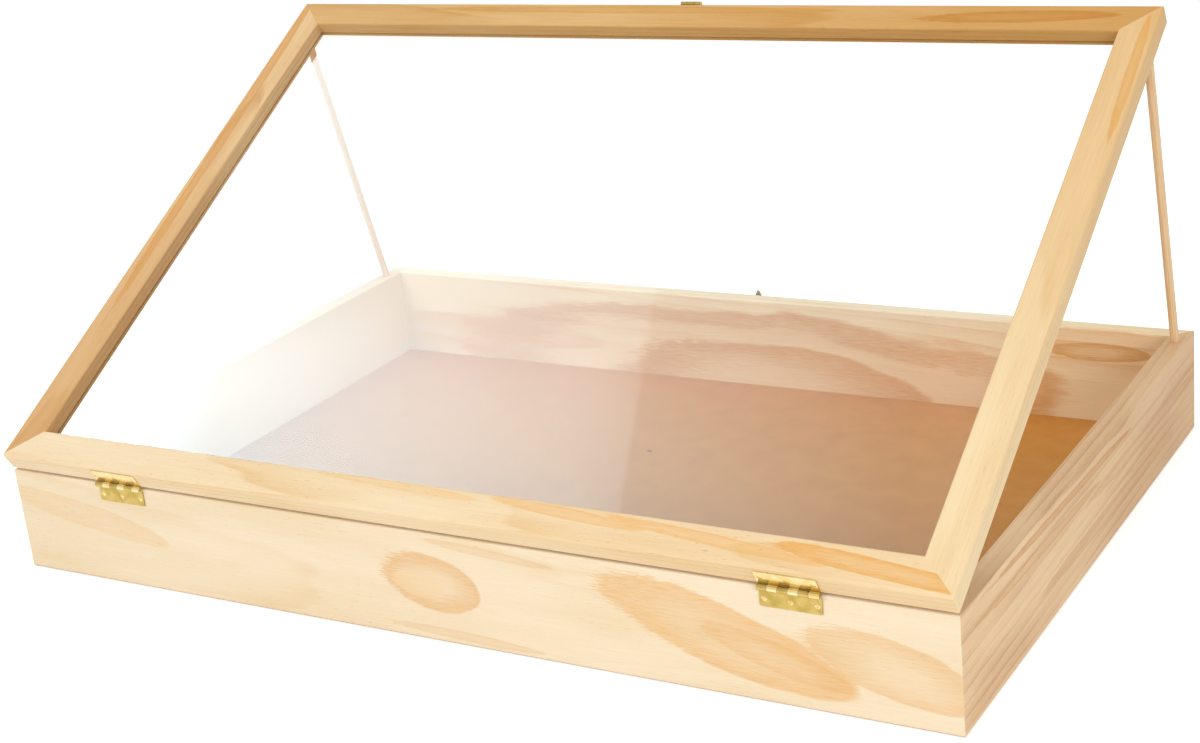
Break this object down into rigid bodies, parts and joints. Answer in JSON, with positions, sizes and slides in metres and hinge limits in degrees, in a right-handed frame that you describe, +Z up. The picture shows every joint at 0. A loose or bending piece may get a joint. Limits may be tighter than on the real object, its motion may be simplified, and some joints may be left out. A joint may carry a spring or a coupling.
{
  "type": "countertop display case",
  "caption": "Shallow mitred pine display case with a brown hardboard floor and a clear-glazed lid hinged along the front, propped open on dowels and closed by a small brass hasp.",
  "frame": {"origin": "middle of the case's footprint, on the underside that the boards rest on", "axes": "+X runs along the front, to the right of someone facing the hinged front; +Y from the hinged front to the hasp at the back; +Z up"},
  "size_m": [0.914, 0.6287, 0.424],
  "materials": {
    "pine": "sanded bare pine with a thin clear coat",
    "dowel_wood": "sanded bare dowel",
    "spline_plywood": "sawn plywood",
    "hardboard": "smooth tempered hardboard",
    "clear_pane": "clear acrylic sheet",
    "brass": "bright brass plate",
    "steel": "bright steel wire"
  },
  "bodies": {
    "case": {"front_board": "pine", "back_board": "pine", "left_board": "pine", "right_board": "pine", "case_corner_splines": "spline_plywood", "floor_panel": "hardboard", "floor_brads": "steel", "latch_catch": "brass", "latch_catch_screws": "brass", "left_hinge_base_leaf": "brass", "left_hinge_pin": "steel", "left_hinge_base_screws": "brass", "right_hinge_base_leaf": "brass", "right_hinge_pin": "steel", "right_hinge_base_screws": "brass"},
    "lid": {"lid_front_rail": "pine", "lid_back_rail": "pine", "lid_left_stile": "pine", "lid_right_stile": "pine", "lid_corner_nails": "steel", "window_pane": "clear_pane", "left_hinge_lid_leaf": "brass", "left_hinge_lid_screws": "brass", "right_hinge_lid_leaf": "brass", "right_hinge_lid_screws": "brass", "latch_lid_plate": "brass", "latch_plate_screws": "brass", "latch_pin": "steel"},
    "hasp_loop": {"latch_flap": "brass"},
    "left_prop": {"left_prop_dowel": "dowel_wood"},
    "right_prop": {"right_prop_dowel": "dowel_wood"}
  },
  "joints": [
    {"name": "lid_hinge", "type": "hinge", "parent": "case", "child": "lid", "pos_m": [0, -0.31, 0.0985], "axis": [1, 0, 0], "range_deg": [0, 150]},
    {"name": "hasp_loop_swing", "type": "hinge", "parent": "lid", "child": "hasp_loop", "pos_m": [0.003, 0.21695, 0.42179], "axis": [1, 0, 0], "range_deg": [0, 170]},
    {"name": "left_prop_turn", "type": "hinge", "parent": "case", "child": "left_prop", "pos_m": [-0.4475, 0.274, 0.098], "axis": [0, -0.2621, 0.965], "continuous": true},
    {"name": "right_prop_turn", "type": "hinge", "parent": "case", "child": "right_prop", "pos_m": [0.4475, 0.274, 0.098], "axis": [0, -0.2621, 0.965], "continuous": true}
  ]
}
